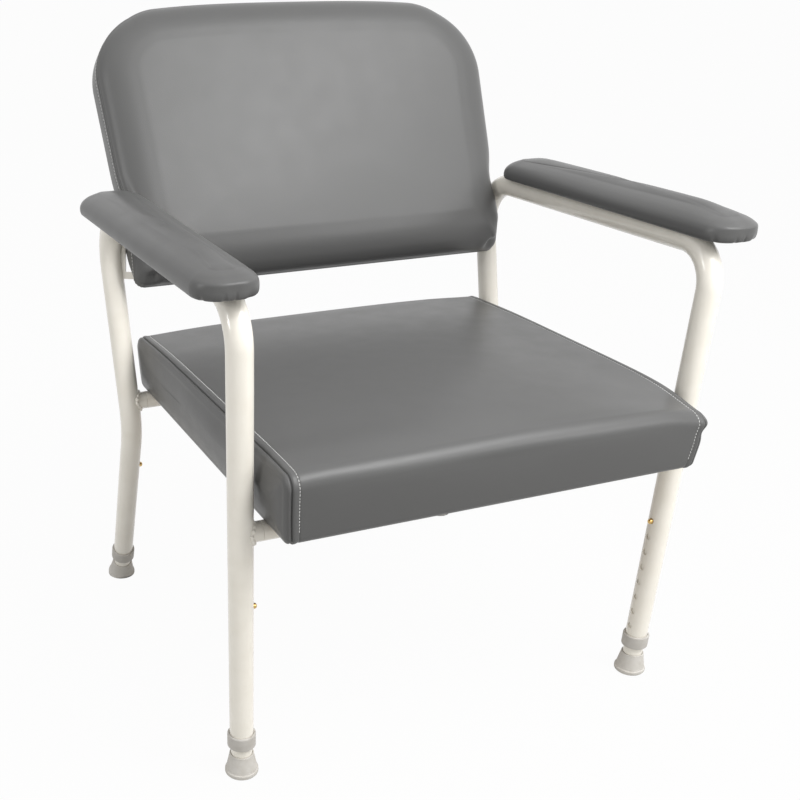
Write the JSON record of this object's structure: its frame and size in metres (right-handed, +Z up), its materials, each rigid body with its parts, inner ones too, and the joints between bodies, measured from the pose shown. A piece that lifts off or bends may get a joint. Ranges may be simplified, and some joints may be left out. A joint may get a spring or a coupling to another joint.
{
  "type": "bariatric day chair",
  "caption": "Wide padded day chair for heavy users: bent-tube side frames, cross rails, upholstered seat, back and arm pads, and telescopic legs locked by sprung buttons.",
  "frame": {"origin": "on the floor, at the middle of the chair's box in plan", "axes": "+Z up; the sitter faces -Y; left and right are as seen from the front, so left is -X"},
  "size_m": [0.7646, 0.7394, 0.8838],
  "materials": {
    "cream_powder_coat": "gloss powder coat",
    "grey_vinyl": "soft-sheen grained vinyl",
    "foam": "open cell",
    "birch_ply": "bare",
    "pale_grey_rubber": "matt moulded",
    "grey_plastic": "satin moulded",
    "brass": "polished",
    "zinc_steel": "zinc plated"
  },
  "bodies": {
    "frame": {"left_side_frame": "cream_powder_coat", "left_back_tab": "cream_powder_coat", "left_arm_board": "birch_ply", "left_arm_foam": "foam", "left_arm_cover": "grey_vinyl", "left_arm_screw_front": "zinc_steel", "left_arm_screw_rear": "zinc_steel", "right_side_frame": "cream_powder_coat", "right_back_tab": "cream_powder_coat", "right_arm_board": "birch_ply", "right_arm_foam": "foam", "right_arm_cover": "grey_vinyl", "right_arm_screw_front": "zinc_steel", "right_arm_screw_rear": "zinc_steel", "front_rail": "cream_powder_coat", "rear_rail": "cream_powder_coat", "front_left_stub": "cream_powder_coat", "front_left_seat_bolt": "zinc_steel", "front_left_collar": "grey_plastic", "front_right_stub": "cream_powder_coat", "front_right_seat_bolt": "zinc_steel", "front_right_collar": "grey_plastic", "rear_left_stub": "cream_powder_coat", "rear_left_seat_bolt": "zinc_steel", "rear_left_collar": "grey_plastic", "rear_right_stub": "cream_powder_coat", "rear_right_seat_bolt": "zinc_steel", "rear_right_collar": "grey_plastic", "seat_board": "birch_ply", "seat_foam": "foam", "seat_cover": "grey_vinyl", "back_hoop": "zinc_steel", "back_board": "birch_ply", "back_foam": "foam", "back_cover": "grey_vinyl", "back_panel": "grey_vinyl"},
    "front_left_leg": {"front_left_leg": "cream_powder_coat", "front_left_foot": "pale_grey_rubber", "front_left_spring": "zinc_steel"},
    "front_left_button": {"front_left_button": "brass"},
    "front_right_leg": {"front_right_leg": "cream_powder_coat", "front_right_foot": "pale_grey_rubber", "front_right_spring": "zinc_steel"},
    "front_right_button": {"front_right_button": "brass"},
    "rear_left_leg": {"rear_left_leg": "cream_powder_coat", "rear_left_foot": "pale_grey_rubber", "rear_left_spring": "zinc_steel"},
    "rear_left_button": {"rear_left_button": "brass"},
    "rear_right_leg": {"rear_right_leg": "cream_powder_coat", "rear_right_foot": "pale_grey_rubber", "rear_right_spring": "zinc_steel"},
    "rear_right_button": {"rear_right_button": "brass"}
  },
  "joints": [
    {"name": "front_left_leg_slide", "type": "slide", "parent": "frame", "child": "front_left_leg", "axis": [0, 0, -1], "range_m": [0, 0.15]},
    {"name": "front_left_button_press", "type": "slide", "parent": "front_left_leg", "child": "front_left_button", "axis": [-1, 0, 0], "range_m": [0, 0.0066], "stiffness_N_per_m": 2000, "deforming": ["front_left_spring"]},
    {"name": "front_right_leg_slide", "type": "slide", "parent": "frame", "child": "front_right_leg", "axis": [0, 0, -1], "range_m": [0, 0.15]},
    {"name": "front_right_button_press", "type": "slide", "parent": "front_right_leg", "child": "front_right_button", "axis": [1, 0, 0], "range_m": [0, 0.0066], "stiffness_N_per_m": 2000, "deforming": ["front_right_spring"]},
    {"name": "rear_left_leg_slide", "type": "slide", "parent": "frame", "child": "rear_left_leg", "axis": [0, 0.3664, -0.9304], "range_m": [0, 0.15]},
    {"name": "rear_left_button_press", "type": "slide", "parent": "rear_left_leg", "child": "rear_left_button", "axis": [-1, 0, 0], "range_m": [0, 0.0066], "stiffness_N_per_m": 2000, "deforming": ["rear_left_spring"]},
    {"name": "rear_right_leg_slide", "type": "slide", "parent": "frame", "child": "rear_right_leg", "axis": [0, 0.3664, -0.9304], "range_m": [0, 0.15]},
    {"name": "rear_right_button_press", "type": "slide", "parent": "rear_right_leg", "child": "rear_right_button", "axis": [1, 0, 0], "range_m": [0, 0.0066], "stiffness_N_per_m": 2000, "deforming": ["rear_right_spring"]}
  ]
}
